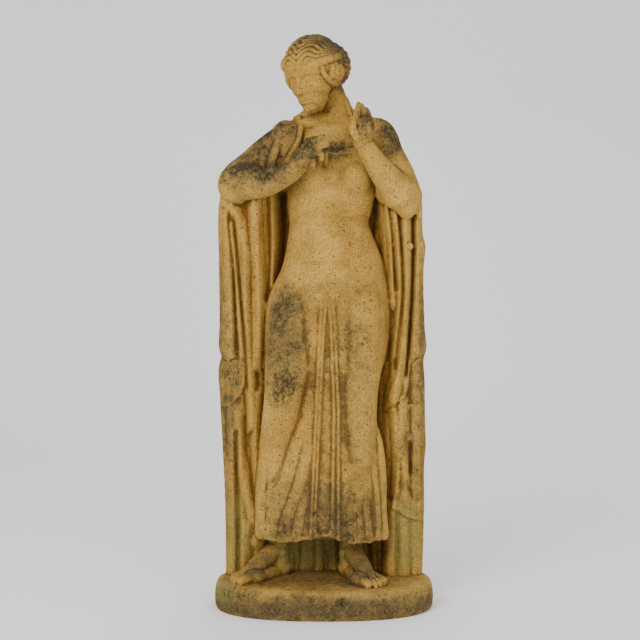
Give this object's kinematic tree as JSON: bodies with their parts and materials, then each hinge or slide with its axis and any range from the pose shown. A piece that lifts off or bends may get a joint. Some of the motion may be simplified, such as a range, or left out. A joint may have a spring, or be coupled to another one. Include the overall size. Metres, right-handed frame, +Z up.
{
  "type": "sculpture maquette",
  "caption": "Standing draped figure in a long dress and full cloak, arms raised to the chest and head turned down to one side, carved in one piece with an oval plinth.",
  "frame": {"origin": "centre of the plinth's underside", "axes": "+Z up; the figure faces -Y; +X is the figure's left"},
  "size_m": [0.3486, 0.22, 0.9049],
  "materials": {
    "stone": "weathered buff cast stone, rough and finely pitted, with dark lichen and green algae in the hollows"
  },
  "bodies": {
    "root": {"draped_figure": "stone"}
  },
  "joints": []
}
